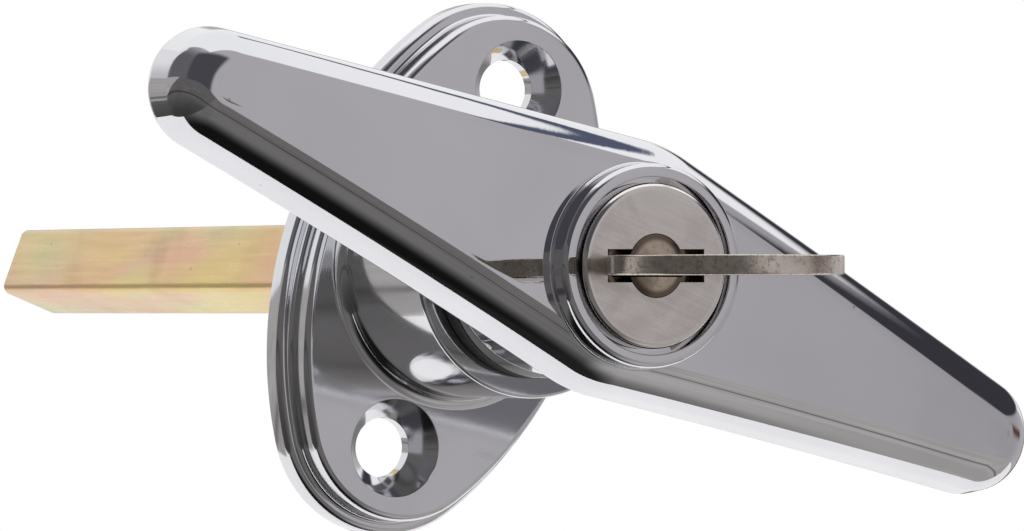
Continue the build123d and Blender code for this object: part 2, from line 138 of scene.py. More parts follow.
# Lock
key_turn = math.radians(21.6)
cap_front = -cap_low.y
cap_rear = -cap_high.y
cap_radius = (cap_high.x - cap_low.x) / 2
cap_round = 0.65
cap_sheet = 0.4
cap_floor = cap_rear - 0.3
bore_radius = cap_radius + 0.6
slot_length = 11.4
slot_width = 3.4
window_radius = 3.3
dome_radius = 3.22
dome_proud = 0.5
keyway_length = 8.3
keyway_width = 2.3
bush_seat = cap_front - cap_sheet - 1.45
bush_flange = 0.5
bush_flange_radius = 4.7


# Mesh helpers
def add_object(name, data):
    item = bpy.data.objects.new(name, data)
    bpy.context.scene.collection.objects.link(item)
    return item


def raised(at, height):
    """Points (x, height, z) from flat points (x, z)."""
    return np.stack([at[:, 0], np.full(len(at), height), at[:, 1]], -1)


class Shell:
    """Patches of faces that keep their exact normals, welded into one closed mesh."""

    def __init__(self, name):
        self.name = name
        self.points = []
        self.normals = []
        self.faces = []
        self.size = 0

    def add(self, points, normals, faces):
        """Takes in faces, with a normal for each of their points."""
        points = np.asarray(points, float).reshape(-1, 3)
        normals = np.asarray(normals, float).reshape(-1, 3)
        self.points.append(points)
        self.normals.append(normals)
        self.faces.extend([[corner + self.size for corner in face] for face in faces])
        self.size += len(points)

    def grid(self, points, normals, closed):
        """Faces between the rows of a grid of points; a closed one joins its last row to its first."""
        rows, columns = points.shape[:2]
        faces = []
        for i in range(rows if closed else rows - 1):
            k = (i + 1) % rows
            for j in range(columns - 1):
                faces.append((i * columns + j, k * columns + j, k * columns + j + 1, i * columns + j + 1))
        self.add(points, normals, faces)

    def patch(self, surface, stations, count, radial, forward, closed=True):
        """Grid on surface(u, v), with v from 0 to 1, that faces out (radial) and ahead (forward)."""
        step = 1e-3
        u, v = np.meshgrid(stations, np.linspace(0, 1, count), indexing="ij")
        points = surface(u, v)
        along = surface(u + step, v) - surface(u - step, v)
        across = surface(u, v + step) - surface(u, v - step)
        normals = np.cross(along, across)
        length = np.linalg.norm(normals, axis=-1, keepdims=True)
        facing = points * (1, 0, 1)
        facing = facing / np.maximum(np.linalg.norm(facing, axis=-1, keepdims=True), 1e-9) * radial
        facing = facing + np.array((0, forward, 0))
        normals = np.where(length > 1e-14, normals / np.maximum(length, 1e-14), facing)
        turned_back = (normals * facing).sum(-1, keepdims=True) < 0
        self.grid(points, np.where(turned_back, -normals, normals), closed)

    def band(self, profile, loop, segments=6, closed=True):
        """Profile of (offset, height, rounding) corners carried round loop(offset)."""
        smooth_limit = math.cos(math.radians(26))
        line = rounded(profile, segments)
        edges = np.diff(line, axis=0)
        sides = np.stack([edges[:, 1], -edges[:, 0]], -1)
        sides = sides / np.linalg.norm(sides, axis=-1, keepdims=True)
        for i in range(len(edges)):
            rings = []
            flows = []
            for k in (0, 1):
                side = sides[i]
                other = i - 1 if k == 0 else i + 1
                if 0 <= other < len(edges) and sides[other] @ sides[i] > smooth_limit:
                    side = side + sides[other]
                    side = side / np.linalg.norm(side)
                at, out = loop(line[i + k][0])
                rings.append(raised(at, line[i + k][1]))
                flows.append(raised(out * side[0], side[1]))
            self.grid(np.stack(rings, 1), np.stack(flows, 1), closed)

    def flat(self, loops, height, forward):
        """Flat face at a height, with holes, facing ahead (1) or back (-1)."""
        at, triangles = filled(loops)
        self.add(raised(at, height), np.tile((0, forward, 0), (len(at), 1)), triangles)

    def shelf(self, inner, outer, height, forward):
        """Flat strip between two loops that have the same number of points."""
        points = np.stack([raised(inner, height), raised(outer, height)], 1)
        self.grid(points, np.tile((0, forward, 0), (len(inner) * 2, 1)), True)

    def wall(self, loop, low, high, inward, closed=True):
        """Upright wall along a loop, each face with its own normal."""
        loop = np.asarray(loop, float)
        spin = np.sum(loop[:, 0] * np.roll(loop[:, 1], -1) - np.roll(loop[:, 0], -1) * loop[:, 1])
        side = (-1 if inward else 1) * (1 if spin > 0 else -1)
        ends = np.roll(loop, -1, 0)
        if not closed:
            loop, ends = loop[:-1], ends[:-1]
        for (x0, z0), (x1, z1) in zip(loop, ends):
            normal = np.array((z1 - z0, 0, x0 - x1)) * side
            normal = normal / max(np.linalg.norm(normal), 1e-12)
            points = [(x0, low, z0), (x1, low, z1), (x1, high, z1), (x0, high, z0)]
            self.add(points, [normal] * 4, [(0, 1, 2, 3)])

    def build(self, turn=0.0):
        """The welded mesh as a piece, turned about the spindle's axis if asked."""
        across = (math.cos(turn), 0, -math.sin(turn))
        upward = (math.sin(turn), 0, math.cos(turn))
        spin = np.array((across, (0, -1, 0), upward))
        points = np.concatenate(self.points) @ spin.T * MM
        normals = np.concatenate(self.normals) @ spin.T
        near = np.round(points * WELD_STEPS).astype(np.int64)
        _, first, weld = np.unique(near, axis=0, return_index=True, return_inverse=True)
        weld = weld.reshape(-1)
        welded = points[first]
        faces = []
        flows = []
        for face in self.faces:
            kept = [c for i, c in enumerate(face) if weld[c] != weld[face[i - 1]]]
            if len(set(weld[kept])) < 3:
                continue
            ring = welded[weld[kept]]
            facing = np.cross(ring[2] - ring[0], ring[-1] - ring[1] if len(ring) > 3 else ring[1] - ring[0])
            if len(ring) == 3:
                facing = -facing
            if facing @ normals[kept].sum(0) < 0:
                kept = kept[::-1]
            faces.append([int(weld[c]) for c in kept])
            flows.extend(normals[kept])
        mesh = bpy.data.meshes.new(self.name)
        mesh.from_pydata(welded.tolist(), [], faces)
        mesh.update()
        mesh.shade_smooth()
        mesh.normals_split_custom_set([tuple(n) for n in flows])
        return add_object(self.name, mesh)


def filled(loops):
    """Points and triangles of a flat area: the first loop is its edge, the others its holes."""
    at = np.concatenate([np.asarray(loop, float) for loop in loops])
    edges = []
    start = 0
    for loop in loops:
        count = len(loop)
        edges += [(start + i, start + (i + 1) % count) for i in range(count)]
        start += count
    result = delaunay_2d_cdt([Vector(p) for p in at], edges, [], 0, 1e-7)
    source = np.array([own[0] for own in result[3]])
    triangles = source[np.array(result[2])]
    middles = at[triangles].mean(1)
    crossings = np.zeros(len(middles), int)
    for loop in loops:
        for (x0, z0), (x1, z1) in zip(np.asarray(loop, float), np.roll(loop, -1, 0)):
            spans = (z0 > middles[:, 1]) != (z1 > middles[:, 1])
            reach = x0 + (x1 - x0) * (middles[:, 1] - z0) / (z1 - z0 if z1 != z0 else 1.0)
            crossings += spans & (middles[:, 0] < reach)
    return at, triangles[crossings % 2 == 1].tolist()


def rounded(profile, segments):
    """Points of a profile whose (offset, height, rounding) corners are rounded."""
    points = []
    for i, (offset, height, size) in enumerate(profile):
        corner = np.array((offset, height), float)
        if size == 0:
            points.append(corner)
            continue
        back = np.array(profile[i - 1][:2], float) - corner
        ahead = np.array(profile[i + 1][:2], float) - corner
        arc = corner_arc(corner, back, ahead, size)
        points.extend(np.stack(on_arc(arc, np.linspace(0, 1, segments + 1)), -1))
    return np.array(points)


def on_arc(arc, share):
    """Both coordinates of the point at a share of an arc."""
    centre, start, sweep = arc
    turn = sweep * share
    x = centre[0] + start[0] * np.cos(turn) - start[1] * np.sin(turn)
    y = centre[1] + start[0] * np.sin(turn) + start[1] * np.cos(turn)
    return x, y


def corner_arc(corner, back, ahead, size):
    """Centre, first spoke and signed sweep of the arc that rounds a corner."""
    back = np.asarray(back) / np.sqrt(back[0] ** 2 + back[1] ** 2)
    ahead = np.asarray(ahead) / np.sqrt(ahead[0] ** 2 + ahead[1] ** 2)
    angle = np.arccos(np.clip(back[0] * ahead[0] + back[1] * ahead[1], -1, 1))
    middle = back + ahead
    middle = middle / np.sqrt(middle[0] ** 2 + middle[1] ** 2)
    centre = np.asarray(corner) + middle * size / np.sin(angle / 2)
    reach = size / np.tan(angle / 2)
    start = corner + back * reach - centre
    end = corner + ahead * reach - centre
    sweep = np.arctan2(start[0] * end[1] - start[1] * end[0], start[0] * end[0] + start[1] * end[1])
    return centre, start, sweep


def circle_loop(angles, centre=(0.0, 0.0), flats=None):
    """Loop function, for bands, of circles about a centre, cut by two flats if asked."""
    out = np.stack([np.cos(angles), np.sin(angles)], -1)

    def loop(radius):
        reach = np.full(len(angles), float(radius))
        if flats is not None:
            reach = np.minimum(reach, flats / 2 / np.maximum(np.abs(np.sin(angles)), 1e-9))
        return np.array(centre) + out * reach[:, None], out
    return loop


def circle(radius, angles, centre=(0.0, 0.0)):
    return circle_loop(angles, centre)(radius)[0]


def polar(radius, bearing, height):
    """Points given by their distance and bearing from the axis, and their height."""
    return np.stack([radius * np.cos(bearing), height, radius * np.sin(bearing)], -1)


def full_turn(count):
    return np.linspace(0, 2 * math.pi, count, endpoint=False)


def quarter_turns(angles):
    """The same angles in each of the four quarters."""
    return np.concatenate([angles + k * math.pi / 2 for k in range(4)])


# Grip: lozenge planform, inset by the draft, between two arched faces
end_centre = grip_length / 2 - grip_end_radius
apex_centre = grip_width / 2 - grip_apex_radius
centre_span = math.hypot(end_centre, apex_centre)
edge_angle = math.atan2(-apex_centre, end_centre) + math.acos(
    (grip_apex_radius - grip_end_radius) / centre_span)
end_arc = grip_end_radius * edge_angle
edge_line = math.sqrt(centre_span ** 2 - (grip_apex_radius - grip_end_radius) ** 2)
apex_arc = grip_apex_radius * (math.pi / 2 - edge_angle)
quarter_edge = end_arc + edge_line + apex_arc


def grip_edge(u):
    """Points and outward normals of the planform, u millimetres round from the right tip."""
    turn = np.floor(u / quarter_edge).astype(int)
    run = u - turn * quarter_edge
    turn = turn % 4
    run = np.where(turn % 2 == 1, quarter_edge - run, run)
    on_apex = run > end_arc + edge_line
    on_line = ~on_apex & (run > end_arc)
    angle = np.where(on_apex, edge_angle + (run - end_arc - edge_line) / grip_apex_radius, edge_angle)
    angle = np.where(run <= end_arc, run / grip_end_radius, angle)
    along = np.where(on_line, run - end_arc, 0.0)
    radius = np.where(on_apex, grip_apex_radius, grip_end_radius)
    x = np.where(on_apex, 0.0, end_centre) + radius * np.cos(angle) - along * np.sin(angle)
    z = np.where(on_apex, apex_centre, 0.0) + radius * np.sin(angle) + along * np.cos(angle)
    left = np.where((turn == 1) | (turn == 2), -1, 1)
    down = np.where(turn > 1, -1, 1)
    return x * left, z * down, np.cos(angle) * left, np.sin(angle) * down


def arch_height(x, radius):
    """Height of an arched face; both faces share a centre behind the grip."""
    return grip_front - arch_radius + np.sqrt(radius ** 2 - x ** 2)


def grip_corner(u, radius, size, front):
    """Edge line and the arc of its rounding, in the plane across the edge."""
    x, z, nx, nz = grip_edge(u)
    inset = np.zeros_like(x)
    for _ in range(6):
        at = x - inset * nx
        height = arch_height(at, radius)
        inset = (height - tip_rear) * draft
    slope = at * nx / np.sqrt(radius ** 2 - at ** 2)
    wall = np.stack([np.full_like(x, draft), np.ones_like(x)]) * (-1 if front else 1)
    face = np.stack([np.ones_like(x), slope])
    return (x, z, nx, nz), corner_arc(np.stack([inset, height]), wall, face, size)


def on_corner(u, v, radius, size, front, share=1.0):
    """Point at a share v of a rounded edge, from the side wall to the face."""
    (x, z, nx, nz), arc = grip_corner(u, radius, size, front)
    inset, height = on_arc(arc, v * share)
    return np.stack([x - inset * nx, height, z - inset * nz], -1)


def clear_of_boss(u):
    """Share of the front rounding that the lock boss leaves free.

    It is a little less where the tip's arc ends, so that the face doesn't fold there.
    """
    low = np.zeros_like(u)
    high = np.ones_like(u)
    for _ in range(26):
        middle = (low + high) / 2
        at = on_corner(u, middle, arch_radius, front_round, True)
        free = np.hypot(at[..., 0], at[..., 2]) > boss_radius + 2 * boss_cove
        low = np.where(free, middle, low)
        high = np.where(free, high, middle)
    from_tip = np.abs(np.mod(u + quarter_edge, 2 * quarter_edge) - quarter_edge)
    near_fold = np.exp(-((from_tip - end_arc - fold_middle) / fold_reach) ** 2)
    return np.where(high > 0.999999, 1.0 - fold_share * near_fold, low)


def front_rounding(u, v):
    return on_corner(u, v, arch_radius, front_round, True, clear_of_boss(u))


def rear_rounding(u, v):
    return on_corner(u, v, rear_arch_radius, rear_round, False)


def grip_wall(u, v):
    near = on_corner(u, 0.0, arch_radius, front_round, True)
    far = rear_rounding(u, 0.0 * v)
    return far + (near - far) * v[..., None]


def edge_inset(x, z):
    """Distance in from the planform's edge."""
    x = np.abs(x)
    z = np.abs(z)
    at_end = grip_end_radius - np.hypot(x - end_centre, z)
    at_apex = grip_apex_radius - np.hypot(x, z - apex_centre)
    reach = end_centre * math.cos(edge_angle) + grip_end_radius
    at_line = reach - (x * math.cos(edge_angle) + z * math.sin(edge_angle))
    inset = np.where(np.arctan2(z - apex_centre, x) > edge_angle, at_apex, at_line)
    beyond = (x > end_centre) & (np.arctan2(z, x - end_centre) < edge_angle)
    return np.where(beyond, at_end, inset)


def front_height(x, z):
    """Height of the grip's front face and its rounding near the lock boss."""
    height = arch_height(x, arch_radius)
    lean = math.atan(draft)
    reach = front_round / math.tan(math.pi / 4 + lean / 2)
    near = edge_inset(x, z) - (height - tip_rear) * draft
    across = np.clip(reach - near, 0.0, front_round)
    return height - front_round + np.sqrt(front_round ** 2 - across ** 2)


def between(inner_radius, outer, v):
    """Points on straight lines from a circle about the axis out to an outer line."""
    bearing = np.arctan2(outer[..., 2], outer[..., 0])
    x = inner_radius * np.cos(bearing) * (1 - v) + outer[..., 0] * v
    z = inner_radius * np.sin(bearing) * (1 - v) + outer[..., 2] * v
    return x, z


def front_face(u, v):
    outer = front_rounding(u, np.ones_like(v))
    x, z = between(boss_radius + boss_cove, outer, v)
    mend = outer[..., 1] - front_height(outer[..., 0], outer[..., 2])
    return np.stack([x, front_height(x, z) + mend * v, z], -1)


def rear_face(u, v):
    outer = rear_rounding(u, np.ones_like(v))
    x, z = between(neck_radius, outer, v)
    mend = outer[..., 1] - arch_height(outer[..., 0], rear_arch_radius)
    return np.stack([x, arch_height(x, rear_arch_radius) + mend * v, z], -1)


def boss_foot(bearing, v):
    """Cove between the grip's face and the boss."""
    turn = v * math.pi / 2
    edge = boss_radius + boss_cove
    foot = front_height(edge * np.cos(bearing), edge * np.sin(bearing))
    return polar(edge - boss_cove * np.sin(turn), bearing, foot + boss_cove * (1 - np.cos(turn)))


def boss_side(bearing, v):
    foot = boss_foot(bearing, np.ones_like(v))
    height = foot[..., 1] + (boss_front - boss_edge - foot[..., 1]) * v
    return np.stack([foot[..., 0], height, foot[..., 2]], -1)


def neck_side(bearing, v):
    low = neck_base + neck_round
    foot = arch_height(neck_radius * np.cos(bearing), rear_arch_radius)
    return polar(neck_radius, bearing, low + (foot - low) * v)


def edge_stations():
    """Stations round the planform, closer on its arcs and near the lock."""
    run = list(np.linspace(0, end_arc, 14, endpoint=False))
    run += list(end_arc + edge_line * np.linspace(0, 1, 44, endpoint=False) ** 0.75)
    run += list(np.linspace(end_arc + edge_line, quarter_edge, 26, endpoint=False))
    run = np.array(run)
    back = 2 * quarter_edge - np.append(run, quarter_edge)[:0:-1]
    half = np.concatenate([run, back])
    return np.concatenate([half, half + 2 * quarter_edge])


def bearings(rounding, stations):
    """Bearing from the axis of each point on the inner line of a rounding."""
    edge = rounding(stations, np.ones_like(stations))
    return np.arctan2(edge[:, 2], edge[:, 0])


def make_handle():
    shell = Shell("handle_casting")
    stations = edge_stations()
    front = bearings(front_rounding, stations)
    rear = bearings(rear_rounding, stations)
    shell.patch(front_face, stations, 13, 0, 1)
    shell.patch(front_rounding, stations, 19, 1, 1)
    shell.patch(grip_wall, stations, 3, 1, 0)
    shell.patch(rear_rounding, stations, 8, 1, -1)
    shell.patch(rear_face, stations, 7, 0, -1)
    shell.patch(boss_foot, front, 6, 1, 1)
    shell.patch(boss_side, front, 3, 1, 0)
    # The boss's edge is a hair smaller than its share of the wall, so no edge has zero length
    shell.band([
        (boss_radius, boss_front - boss_edge, 0),
        (boss_radius, boss_front, boss_edge * 0.9999),
        (bore_radius, boss_front, bore_edge),
        (bore_radius, cap_floor, 0),
        (lock_bore_radius, cap_floor, 0),
        (lock_bore_radius, lock_bore_floor, 0),
        (0, lock_bore_floor, 0),
    ], circle_loop(front), 8)
    shell.patch(neck_side, rear, 3, 1, 0)
    shell.band([
        (neck_flat, neck_base, 0),
        (neck_radius, neck_base, neck_round),
        (neck_radius, neck_base + neck_round, 0),
    ], circle_loop(rear), 5)
    add_shank(shell, circle(neck_flat, rear))
    return shell.build()


def add_shank(shell, neck_ring):
    """Shank behind the neck: a round bar with flats at its end and a window for the bolt."""
    window = math.asin(bolt_window_half / shank_radius)
    across = np.linspace(-window, window, 24, endpoint=False)
    around = np.linspace(window, 2 * math.pi - window, 130)
    angles = np.concatenate([across, around[:-1]])
    ring = circle(shank_radius, angles)
    shell.flat([neck_ring, ring], neck_base, -1)
    for low, high, part in (
        (bolt_window_high, neck_base, angles),
        (bolt_window_low, bolt_window_high, around),
        (flats_height, bolt_window_low, angles),
    ):
        side = [(shank_radius, low, 0), (shank_radius, high, 0)]
        shell.band(side, circle_loop(part), closed=part is angles)
    mouth = circle(shank_radius, np.append(across, window))
    inside = np.array([(bolt_window_end, bolt_window_half), (bolt_window_end, -bolt_window_half)])
    floor = np.concatenate([mouth, inside])
    shell.flat([floor], bolt_window_low, 1)
    shell.flat([floor], bolt_window_high, -1)
    sides = np.concatenate([mouth[-1:], inside, mouth[:1]])
    shell.wall(sides, bolt_window_low, bolt_window_high, True, False)
    flatted = circle_loop(angles, flats=shank_flats)
    shell.shelf(flatted(shank_radius)[0], ring, flats_height, -1)
    shell.band([
        (0, shank_end, 0), (shank_radius, shank_end, 0), (shank_radius, flats_height, 0),
    ], flatted)


# Escutcheon: two-tier oval plate with a tall hub
def plate_loop(count):
    """Loop function of the plate's oval at an offset from its foot."""
    def loop(offset):
        half_width = plate_width / 2 + offset
        half_length = plate_length / 2 + offset
        end_radius = plate_end_radius + offset
        end_mid = half_length - end_radius
        side_radius = (half_width ** 2 + end_mid ** 2 - end_radius ** 2) / (2 * (half_width - end_radius))
        side_mid = half_width - side_radius
        split = math.atan2(end_mid, -side_mid)
        sides = np.linspace(-split, split, count, endpoint=False)
        ends = np.linspace(split, math.pi - split, count, endpoint=False)
        side = np.stack([side_mid + side_radius * np.cos(sides), side_radius * np.sin(sides)], -1)
        end = np.stack([end_radius * np.cos(ends), end_mid + end_radius * np.sin(ends)], -1)
        half = np.concatenate([side, end])
        angles = np.concatenate([sides, ends, sides + math.pi, ends + math.pi])
        return np.concatenate([half, -half]), np.stack([np.cos(angles), np.sin(angles)], -1)
    return loop


def pocket_loop(side):
    """Outline of the hollow above (1) or below (-1) the centre, seen from behind."""
    edge, _ = plate_loop(60)(-rim_wall)
    outer = edge[(edge[:, 1] * side > 0) & (np.hypot(edge[:, 0], edge[:, 1]) > pocket_boss_radius)]
    bearing = np.arctan2(outer[:, 1] * side, outer[:, 0])
    outer = outer[np.argsort(bearing)]
    inner = np.linspace(bearing.max(), bearing.min(), 40)
    arc = np.stack([np.cos(inner), np.sin(inner) * side], -1) * pocket_boss_radius
    return np.concatenate([outer, arc])


def grooved_bore(arc):
    """Outline of the hub's bore, with the four grooves that the bolt can enter."""
    mouth = math.sqrt(hub_bore ** 2 - groove_half ** 2)
    groove = [(mouth, -groove_half), (groove_reach, -groove_half), (groove_reach, groove_half)]
    x, z = np.concatenate([groove, circle(hub_bore, arc)]).T
    turned = [(x, z), (-z, x), (-x, -z), (z, -x)]
    return np.concatenate([np.stack(pair, -1) for pair in turned])


def make_escutcheon():
    shell = Shell("escutcheon_casting")
    oval = plate_loop(56)
    groove = math.asin(groove_half / hub_bore)
    mouth = np.linspace(-groove, groove, 24, endpoint=False)
    between_grooves = np.linspace(groove, math.pi / 2 - groove, 32, endpoint=False)
    around = quarter_turns(np.append(mouth, between_grooves))
    face_inset = tier_step + rim_round + 0.01
    shell.band([
        (-foot_inset, 0.0, 0),
        (0.0, 0.0, foot_round),
        (0.0, tier_height, rim_round),
        (-tier_step, tier_height, tier_cove),
        (-tier_step, plate_face, rim_round),
        (-face_inset, plate_face, 0),
    ], oval, 9)
    hub_foot = hub_radius + hub_fillet + 0.01
    sink = (screw_head - screw_hole) / 2 / math.tan(screw_lean)
    heads = []
    holes = []
    for side in (-1, 1):
        centre = (0, side * screw_spacing / 2)
        heads.append(circle(screw_head / 2 + sink_edge, full_turn(96), centre))
        holes.append(circle(screw_hole / 2, full_turn(96), centre))
        shell.band([
            (screw_head / 2 + sink_edge, plate_face, 0),
            (screw_head / 2, plate_face, 0.15),
            (screw_hole / 2, plate_face - sink, 0.1),
            (screw_hole / 2, pocket_floor, 0),
        ], circle_loop(full_turn(96), centre), 5)
    shell.flat([oval(-face_inset)[0], circle(hub_foot, around)] + heads, plate_face, 1)
    shell.band([
        (hub_foot, plate_face, 0),
        (hub_radius, plate_face, hub_fillet),
        (hub_radius, hub_height, hub_edge),
        (hub_bore, hub_height, 0.15),
        (hub_bore, groove_top, 0),
    ], circle_loop(around), 12)
    grooved = grooved_bore(between_grooves)
    recess = circle(recess_radius, around)
    shell.flat([grooved, circle(hub_bore, around)], groove_top, -1)
    shell.wall(grooved, recess_depth, groove_top, True)
    shell.flat([recess, grooved], recess_depth, -1)
    shell.band([(recess_radius, recess_depth, 0), (recess_radius, 0.0, 0)], circle_loop(around))
    pockets = [pocket_loop(side) for side in (-1, 1)]
    for pocket, hole in zip(pockets, holes):
        shell.wall(pocket, 0.0, pocket_floor, True)
        shell.flat([pocket, hole], pocket_floor, -1)
    shell.flat([oval(-foot_inset)[0], recess] + pockets, 0.0, -1)
    return shell.build()


def make_neck_seal():
    shell = Shell("neck_seal_ring")
    inner = shank_radius + 0.3
    high = neck_base - seal_play
    low = high - seal_thickness
    shell.band([
        (inner, low, 0), (neck_radius, low, seal_round), (neck_radius, high, seal_round),
        (inner, high, 0), (inner, low, 0),
    ], circle_loop(full_turn(192)), 5)
    return shell.build()


# Lock
def slot_outline():
    """Cap opening: the long slot and the round window in one outline."""
    half_length = slot_length / 2
    half_width = slot_width / 2
    corner = math.asin(half_width / window_radius)
    arc = circle(window_radius, np.linspace(corner, math.pi - corner, 33))
    upper = np.concatenate([[(half_length, half_width)], arc, [(-half_length, half_width)]])
    return np.concatenate([upper, -upper])


def make_face_cap():
    shell = Shell("face_cap_disc")
    angles = full_turn(240)
    opening = slot_outline()
    inner = circle(cap_radius - cap_sheet, angles)
    flat_radius = cap_radius - cap_round - 0.1
    under = cap_front - cap_sheet
    shell.band([
        (cap_radius - cap_sheet, cap_rear, 0),
        (cap_radius, cap_rear, 0.1),
        (cap_radius, cap_front, cap_round),
        (flat_radius, cap_front, 0),
    ], circle_loop(angles), 10)
    shell.flat([circle(flat_radius, angles), opening], cap_front, 1)
    shell.wall(opening, under, cap_front, True)
    shell.flat([inner, opening], under, -1)
    shell.wall(inner, cap_rear, under, True)
    return shell.build(key_turn)


def dome_half(side):
    """Surface function of the dome above (1) or below (-1) the keyway."""
    half_keyway = keyway_width / 2
    reach = math.sqrt(dome_radius ** 2 - half_keyway ** 2)

    def surface(u, v):
        x = reach * u
        edge = np.sqrt(np.maximum(dome_radius ** 2 - x ** 2, half_keyway ** 2))
        z = half_keyway + (edge - half_keyway) * v
        drop = (x ** 2 + z ** 2) / dome_radius ** 2
        return np.stack([x, cap_front + dome_proud * (1 - drop), z * side], -1)
    return surface


def make_keyhole_bush():
    shell = Shell("keyhole_dome")
    under = bush_seat - bush_flange
    half_length = keyway_length / 2
    half_keyway = keyway_width / 2
    count = 41
    shares = np.sin(np.linspace(-1, 1, count) * math.pi / 2)
    for side in (-1, 1):
        half = dome_half(side)
        shell.patch(half, shares, 13, 0, 1, False)
        for line, is_rim in ((half(shares, np.ones(count)), True), (half(shares, np.zeros(count)), False)):
            for a, b in zip(line[:-1], line[1:]):
                out = np.array((a[0] + b[0], 0, a[2] + b[2]) if is_rim else (0, 0, -side))
                out = out / np.linalg.norm(out)
                wall = [a, b, (b[0], bush_seat, b[2]), (a[0], bush_seat, a[2])]
                shell.add(wall, [out] * 4, [(0, 1, 2, 3)])

    def outline(share):
        """Flange opening along the dome's rim (1) or its keyway (0), out to the keyway's ends."""
        line = dome_half(1)(shares[::-1], np.full(count, share))[:, [0, 2]]
        upper = np.concatenate([[(half_length, half_keyway)], line, [(-half_length, half_keyway)]])
        return np.concatenate([upper, -upper])
    flange = circle(bush_flange_radius, full_turn(96))
    shell.flat([flange, outline(1.0)], bush_seat, 1)
    shell.flat([flange, outline(0.0)], under, -1)
    shell.wall(flange, under, bush_seat, False)
    shell.wall(outline(0.0), under, bush_seat, True)
    return shell.build(key_turn)


def make_spindle():
    shell = Shell("spindle_bar")
    half = (spindle_high.x - spindle_low.x) / 2
    corner = 1.0
    point = 0.8
    end = -spindle_high.y
    root = -spindle_low.y
    out = circle(1.0, quarter_turns(np.linspace(0, math.pi / 2, 9)))
    corners = np.repeat([(1, 1), (-1, 1), (-1, -1), (1, -1)], 9, axis=0)

    def loop(offset):
        """The square bar's rounded outline, moved out by an offset."""
        reach = half + offset
        round_left = min(corner, reach)
        return corners * (reach - round_left) + out * round_left, out
    shell.band([
        (-half, end, 0), (-point, end, 0.12), (0, end + point, 0.3), (0, root, 0), (-half, root, 0),
    ], loop)
    return shell.build()


# Key: round bow, shoulder and cut blade, from the same sizes as the solid
blade_width = 8.0
blade_thickness = 2.0
blade_length = 20.2
shoulder_width = 11.0
bow_radius = 11.9
bow_gap = 2.0
bow_hole = 5.0
bow_hole_offset = 7.4
bow_height = cap_front + bow_gap + bow_radius
key_face = cap_front + 0.05
key_round = 0.18
cut_count = 5
cut_step = 0.3
cut_pitch = 3.3
cut_flat = 0.9
first_cut = cap_floor - 2.5


def key_outline():
    """Outline of the key in its own plane: width and height."""
    half = blade_width / 2
    shoulder = shoulder_width / 2
    tip = cap_front - blade_length
    turn = math.atan2(shoulder, -math.sqrt(bow_radius ** 2 - shoulder ** 2))
    points = []
    for a in np.linspace(-turn, turn, 97):
        points.append((bow_radius * math.sin(a), bow_height + bow_radius * math.cos(a)))
    points += [(shoulder, key_face), (half, key_face)]
    level = half
    for k in range(cut_count):
        height = first_cut - cut_pitch * k + cut_flat
        cut = half - cut_step * (k + 1)
        points += [(level, height + level - cut), (cut, height)]
        level = cut
    points += [(level, tip + level), (level / 2, tip), (-level / 2, tip), (-half, tip + level)]
    points += [(-half, key_face), (-shoulder, key_face)]
    return np.array(points)


def make_key():
    hole = circle(bow_hole / 2, full_turn(48), (0.0, bow_height + bow_hole_offset))
    loops = [key_outline(), hole]
    flat_points, triangles = filled(loops)
    count = len(flat_points)
    points = []
    for across in (-blade_thickness / 2, blade_thickness / 2):
        for w, h in flat_points:
            x = w * math.cos(key_turn) - across * math.sin(key_turn)
            z = w * math.sin(key_turn) + across * math.cos(key_turn)
            points.append((x * MM, -h * MM, z * MM))
    faces = [tuple(t) for t in triangles]
    faces += [tuple(c + count for c in t[::-1]) for t in triangles]
    start = 0
    for loop in loops:
        size = len(loop)
        for i in range(size):
            k = (i + 1) % size
            faces.append((start + i, start + k, start + k + count, start + i + count))
        start += size
    mesh = bpy.data.meshes.new("key_blank")
    mesh.from_pydata(points, [], faces)
    mesh.update()
    piece = add_object("key_blank", mesh)
    finish_edges(piece, key_round)
    return piece


def finish_edges(piece, width):
    """Rounds a piece's sharp edges and bakes the rounding into its mesh."""
    solid = bmesh.new()
    solid.from_mesh(piece.data)
    bmesh.ops.remove_doubles(solid, verts=solid.verts, dist=1e-7)
    bmesh.ops.recalc_face_normals(solid, faces=solid.faces)
    bmesh.ops.dissolve_limit(solid, angle_limit=math.radians(1), verts=solid.verts, edges=solid.edges)
    solid.to_mesh(piece.data)
    solid.free()
    piece.data.shade_smooth()
    bevel = piece.modifiers.new("edge_rounding", "BEVEL")
    bevel.width = width * MM
    bevel.segments = 3
    bevel.limit_method = "ANGLE"
    bevel.angle_limit = math.radians(35)
    bevel.harden_normals = True
    graph = bpy.context.evaluated_depsgraph_get()
    baked = bpy.data.meshes.new_from_object(piece.evaluated_get(graph))
    piece.modifiers.clear()
    piece.data = baked


# Effects shared by the materials
class Value:
    """A node's output. Arithmetic on it adds the nodes that work out the result."""

    def __init__(self, socket):
        self.socket = socket
        self.tree = socket.id_data

    def maths(self, kind, other=0.0, clamp=False):
        node = add_node(self.tree, "Math", {0: self, 1: other}, operation=kind, use_clamp=clamp)
        return Value(node.outputs[0])

    def __add__(self, other):
        return self.maths("ADD", other)

    def __sub__(self, other):
        return self.maths("SUBTRACT", other)

    def __mul__(self, other):
        return self.maths("MULTIPLY", other)

    def ranged(self, low, high, start=0.0, end=1.0):
        """Smooth way from start to end, while this value goes from low to high."""
        inputs = dict(enumerate((self, low, high, start, end)))
        node = add_node(self.tree, "MapRange", inputs, interpolation_type="SMOOTHSTEP")
        return Value(node.outputs["Result"])

    def blend(self, first, second):
        """Mix of two colours, in which this value is the share of the second one."""
        node = add_node(self.tree, "Mix", {"Factor": self, "A": first, "B": second}, data_type="RGBA")
        return Value(node.outputs["Result"])


